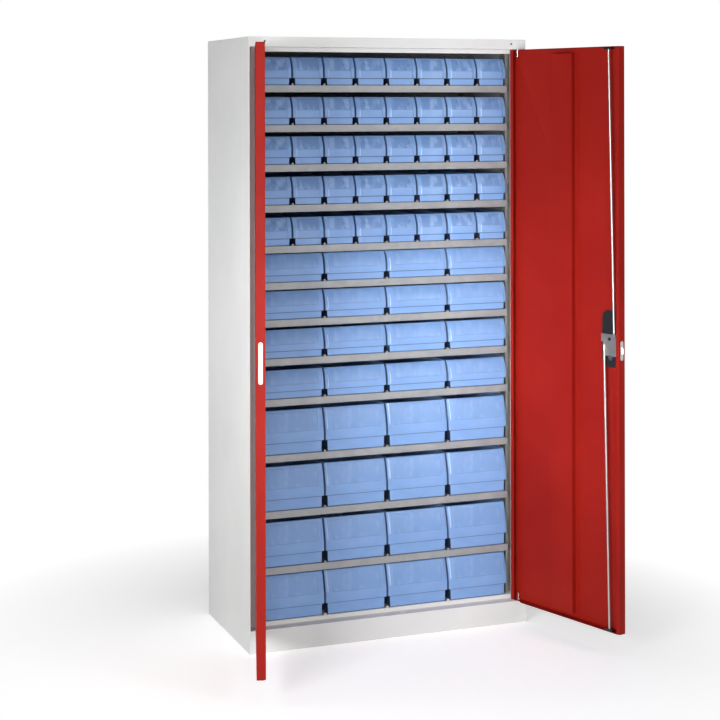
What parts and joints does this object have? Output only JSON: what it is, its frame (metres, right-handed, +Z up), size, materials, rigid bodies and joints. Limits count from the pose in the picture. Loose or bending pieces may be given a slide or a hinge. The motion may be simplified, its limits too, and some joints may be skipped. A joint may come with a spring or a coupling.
{
  "type": "parts bin cabinet",
  "caption": "Tall steel cabinet with two wing doors, a turn-handle rod lock, shelves and sliding open-top parts bins.",
  "frame": {"origin": "on the floor, in the middle of the cabinet's width, at the front face of the plinth", "axes": "+X to the right seen from the front, +Y towards the back, +Z up"},
  "size_m": [1.2514, 0.9114, 2],
  "materials": {
    "body_paint": "satin",
    "shelf_paint": "satin",
    "door_paint": "satin",
    "blue_plastic": "gloss",
    "zinc_plate": "satin",
    "bright_steel": "satin",
    "black_plastic": "matte",
    "white_plastic": "matte"
  },
  "bodies": {
    "cabinet": {"left_side_panel": "body_paint", "right_side_panel": "body_paint", "back_panel": "body_paint", "top_panel": "body_paint", "base_panel": "body_paint", "slotted_uprights": "zinc_plate", "shelves": "shelf_paint", "hinge_pins": "bright_steel"},
    "left_door": {"left_door_panel": "door_paint", "left_door_stiffener": "door_paint", "strike_plate": "white_plastic"},
    "right_door": {"right_door_panel": "door_paint", "right_door_stiffener": "door_paint", "handle_tray": "black_plastic", "lock_case": "zinc_plate", "latch_faceplate": "bright_steel", "rod_guides": "black_plastic"},
    "handle": {"turn_handle": "black_plastic", "lock_cam": "zinc_plate"},
    "upper_rod_body": {"upper_rod": "zinc_plate"},
    "lower_rod_body": {"lower_rod": "zinc_plate"},
    "latch": {"latch_bolt": "bright_steel"},
    "key_cylinder": {"lock_cylinder": "bright_steel"},
    "small_bins_row_1_body": {"small_bins_row_1": "blue_plastic"},
    "small_bins_row_2_body": {"small_bins_row_2": "blue_plastic"},
    "small_bins_row_3_body": {"small_bins_row_3": "blue_plastic"},
    "small_bins_row_4_body": {"small_bins_row_4": "blue_plastic"},
    "small_bins_row_5_body": {"small_bins_row_5": "blue_plastic"},
    "low_bin_6_1_body": {"low_bin_6_1": "blue_plastic"},
    "low_bin_6_2_body": {"low_bin_6_2": "blue_plastic"},
    "low_bin_6_3_body": {"low_bin_6_3": "blue_plastic"},
    "low_bin_6_4_body": {"low_bin_6_4": "blue_plastic"},
    "low_bin_7_1_body": {"low_bin_7_1": "blue_plastic"},
    "low_bin_7_2_body": {"low_bin_7_2": "blue_plastic"},
    "low_bin_7_3_body": {"low_bin_7_3": "blue_plastic"},
    "low_bin_7_4_body": {"low_bin_7_4": "blue_plastic"},
    "low_bin_8_1_body": {"low_bin_8_1": "blue_plastic"},
    "low_bin_8_2_body": {"low_bin_8_2": "blue_plastic"},
    "low_bin_8_3_body": {"low_bin_8_3": "blue_plastic"},
    "low_bin_8_4_body": {"low_bin_8_4": "blue_plastic"},
    "low_bin_9_1_body": {"low_bin_9_1": "blue_plastic"},
    "low_bin_9_2_body": {"low_bin_9_2": "blue_plastic"},
    "low_bin_9_3_body": {"low_bin_9_3": "blue_plastic"},
    "low_bin_9_4_body": {"low_bin_9_4": "blue_plastic"},
    "tall_bin_10_1_body": {"tall_bin_10_1": "blue_plastic"},
    "tall_bin_10_2_body": {"tall_bin_10_2": "blue_plastic"},
    "tall_bin_10_3_body": {"tall_bin_10_3": "blue_plastic"},
    "tall_bin_10_4_body": {"tall_bin_10_4": "blue_plastic"},
    "tall_bin_11_1_body": {"tall_bin_11_1": "blue_plastic"},
    "tall_bin_11_2_body": {"tall_bin_11_2": "blue_plastic"},
    "tall_bin_11_3_body": {"tall_bin_11_3": "blue_plastic"},
    "tall_bin_11_4_body": {"tall_bin_11_4": "blue_plastic"},
    "tall_bin_12_1_body": {"tall_bin_12_1": "blue_plastic"},
    "tall_bin_12_2_body": {"tall_bin_12_2": "blue_plastic"},
    "tall_bin_12_3_body": {"tall_bin_12_3": "blue_plastic"},
    "tall_bin_12_4_body": {"tall_bin_12_4": "blue_plastic"},
    "tall_bin_13_1_body": {"tall_bin_13_1": "blue_plastic"},
    "tall_bin_13_2_body": {"tall_bin_13_2": "blue_plastic"},
    "tall_bin_13_3_body": {"tall_bin_13_3": "blue_plastic"},
    "tall_bin_13_4_body": {"tall_bin_13_4": "blue_plastic"}
  },
  "joints": [
    {"name": "right_door_hinge", "type": "hinge", "parent": "cabinet", "child": "right_door", "pos_m": [0.473, 0.0055, 1.02], "axis": [0, 0, 1], "range_deg": [-108, 0]},
    {"name": "left_door_hinge", "type": "hinge", "parent": "cabinet", "child": "left_door", "pos_m": [-0.473, 0.0055, 1.02], "axis": [0, 0, -1], "range_deg": [-108, 0]},
    {"name": "handle_turn", "type": "hinge", "parent": "right_door", "child": "handle", "pos_m": [0.5999, -0.39961, 1.02], "axis": [0.9511, 0.309, 0], "range_deg": [-90, 0]},
    {"name": "upper_rod_pivot", "type": "hinge", "parent": "handle", "child": "upper_rod_body", "pos_m": [0.59527, -0.42356, 1.02532], "axis": [0.9511, 0.309, 0], "range_deg": [0, 92]},
    {"name": "lower_rod_pivot", "type": "hinge", "parent": "handle", "child": "lower_rod_body", "pos_m": [0.58208, -0.38296, 1.01468], "axis": [0.9511, 0.309, 0], "range_deg": [0, 92]},
    {"name": "latch_slide", "type": "slide", "parent": "right_door", "child": "latch", "axis": [-0.309, 0.9511, 0], "range_m": [0, 0.006], "stiffness_N_per_m": 200, "springref_m": -0.01},
    {"name": "key_turn", "type": "hinge", "parent": "right_door", "child": "key_cylinder", "pos_m": [0.5999, -0.39961, 0.959], "axis": [0.9511, 0.309, 0], "range_deg": [0, 90]},
    {"name": "small_bins_row_1_slide", "type": "slide", "parent": "cabinet", "child": "small_bins_row_1_body", "axis": [0, -1, 0], "range_m": [0, 0.3]},
    {"name": "small_bins_row_2_slide", "type": "slide", "parent": "cabinet", "child": "small_bins_row_2_body", "axis": [0, -1, 0], "range_m": [0, 0.3]},
    {"name": "small_bins_row_3_slide", "type": "slide", "parent": "cabinet", "child": "small_bins_row_3_body", "axis": [0, -1, 0], "range_m": [0, 0.3]},
    {"name": "small_bins_row_4_slide", "type": "slide", "parent": "cabinet", "child": "small_bins_row_4_body", "axis": [0, -1, 0], "range_m": [0, 0.3]},
    {"name": "small_bins_row_5_slide", "type": "slide", "parent": "cabinet", "child": "small_bins_row_5_body", "axis": [0, -1, 0], "range_m": [0, 0.3]},
    {"name": "low_bin_6_1_slide", "type": "slide", "parent": "cabinet", "child": "low_bin_6_1_body", "axis": [0, -1, 0], "range_m": [0, 0.3]},
    {"name": "low_bin_6_2_slide", "type": "slide", "parent": "cabinet", "child": "low_bin_6_2_body", "axis": [0, -1, 0], "range_m": [0, 0.3]},
    {"name": "low_bin_6_3_slide", "type": "slide", "parent": "cabinet", "child": "low_bin_6_3_body", "axis": [0, -1, 0], "range_m": [0, 0.3]},
    {"name": "low_bin_6_4_slide", "type": "slide", "parent": "cabinet", "child": "low_bin_6_4_body", "axis": [0, -1, 0], "range_m": [0, 0.3]},
    {"name": "low_bin_7_1_slide", "type": "slide", "parent": "cabinet", "child": "low_bin_7_1_body", "axis": [0, -1, 0], "range_m": [0, 0.3]},
    {"name": "low_bin_7_2_slide", "type": "slide", "parent": "cabinet", "child": "low_bin_7_2_body", "axis": [0, -1, 0], "range_m": [0, 0.3]},
    {"name": "low_bin_7_3_slide", "type": "slide", "parent": "cabinet", "child": "low_bin_7_3_body", "axis": [0, -1, 0], "range_m": [0, 0.3]},
    {"name": "low_bin_7_4_slide", "type": "slide", "parent": "cabinet", "child": "low_bin_7_4_body", "axis": [0, -1, 0], "range_m": [0, 0.3]},
    {"name": "low_bin_8_1_slide", "type": "slide", "parent": "cabinet", "child": "low_bin_8_1_body", "axis": [0, -1, 0], "range_m": [0, 0.3]},
    {"name": "low_bin_8_2_slide", "type": "slide", "parent": "cabinet", "child": "low_bin_8_2_body", "axis": [0, -1, 0], "range_m": [0, 0.3]},
    {"name": "low_bin_8_3_slide", "type": "slide", "parent": "cabinet", "child": "low_bin_8_3_body", "axis": [0, -1, 0], "range_m": [0, 0.3]},
    {"name": "low_bin_8_4_slide", "type": "slide", "parent": "cabinet", "child": "low_bin_8_4_body", "axis": [0, -1, 0], "range_m": [0, 0.3]},
    {"name": "low_bin_9_1_slide", "type": "slide", "parent": "cabinet", "child": "low_bin_9_1_body", "axis": [0, -1, 0], "range_m": [0, 0.3]},
    {"name": "low_bin_9_2_slide", "type": "slide", "parent": "cabinet", "child": "low_bin_9_2_body", "axis": [0, -1, 0], "range_m": [0, 0.3]},
    {"name": "low_bin_9_3_slide", "type": "slide", "parent": "cabinet", "child": "low_bin_9_3_body", "axis": [0, -1, 0], "range_m": [0, 0.3]},
    {"name": "low_bin_9_4_slide", "type": "slide", "parent": "cabinet", "child": "low_bin_9_4_body", "axis": [0, -1, 0], "range_m": [0, 0.3]},
    {"name": "tall_bin_10_1_slide", "type": "slide", "parent": "cabinet", "child": "tall_bin_10_1_body", "axis": [0, -1, 0], "range_m": [0, 0.3]},
    {"name": "tall_bin_10_2_slide", "type": "slide", "parent": "cabinet", "child": "tall_bin_10_2_body", "axis": [0, -1, 0], "range_m": [0, 0.3]},
    {"name": "tall_bin_10_3_slide", "type": "slide", "parent": "cabinet", "child": "tall_bin_10_3_body", "axis": [0, -1, 0], "range_m": [0, 0.3]},
    {"name": "tall_bin_10_4_slide", "type": "slide", "parent": "cabinet", "child": "tall_bin_10_4_body", "axis": [0, -1, 0], "range_m": [0, 0.3]},
    {"name": "tall_bin_11_1_slide", "type": "slide", "parent": "cabinet", "child": "tall_bin_11_1_body", "axis": [0, -1, 0], "range_m": [0, 0.3]},
    {"name": "tall_bin_11_2_slide", "type": "slide", "parent": "cabinet", "child": "tall_bin_11_2_body", "axis": [0, -1, 0], "range_m": [0, 0.3]},
    {"name": "tall_bin_11_3_slide", "type": "slide", "parent": "cabinet", "child": "tall_bin_11_3_body", "axis": [0, -1, 0], "range_m": [0, 0.3]},
    {"name": "tall_bin_11_4_slide", "type": "slide", "parent": "cabinet", "child": "tall_bin_11_4_body", "axis": [0, -1, 0], "range_m": [0, 0.3]},
    {"name": "tall_bin_12_1_slide", "type": "slide", "parent": "cabinet", "child": "tall_bin_12_1_body", "axis": [0, -1, 0], "range_m": [0, 0.3]},
    {"name": "tall_bin_12_2_slide", "type": "slide", "parent": "cabinet", "child": "tall_bin_12_2_body", "axis": [0, -1, 0], "range_m": [0, 0.3]},
    {"name": "tall_bin_12_3_slide", "type": "slide", "parent": "cabinet", "child": "tall_bin_12_3_body", "axis": [0, -1, 0], "range_m": [0, 0.3]},
    {"name": "tall_bin_12_4_slide", "type": "slide", "parent": "cabinet", "child": "tall_bin_12_4_body", "axis": [0, -1, 0], "range_m": [0, 0.3]},
    {"name": "tall_bin_13_1_slide", "type": "slide", "parent": "cabinet", "child": "tall_bin_13_1_body", "axis": [0, -1, 0], "range_m": [0, 0.3]},
    {"name": "tall_bin_13_2_slide", "type": "slide", "parent": "cabinet", "child": "tall_bin_13_2_body", "axis": [0, -1, 0], "range_m": [0, 0.3]},
    {"name": "tall_bin_13_3_slide", "type": "slide", "parent": "cabinet", "child": "tall_bin_13_3_body", "axis": [0, -1, 0], "range_m": [0, 0.3]},
    {"name": "tall_bin_13_4_slide", "type": "slide", "parent": "cabinet", "child": "tall_bin_13_4_body", "axis": [0, -1, 0], "range_m": [0, 0.3]}
  ],
  "couplings": [
    {"joint": "upper_rod_pivot", "follows": "handle_turn", "ratio": -1.0181},
    {"joint": "lower_rod_pivot", "follows": "handle_turn", "ratio": -1.0181}
  ]
}
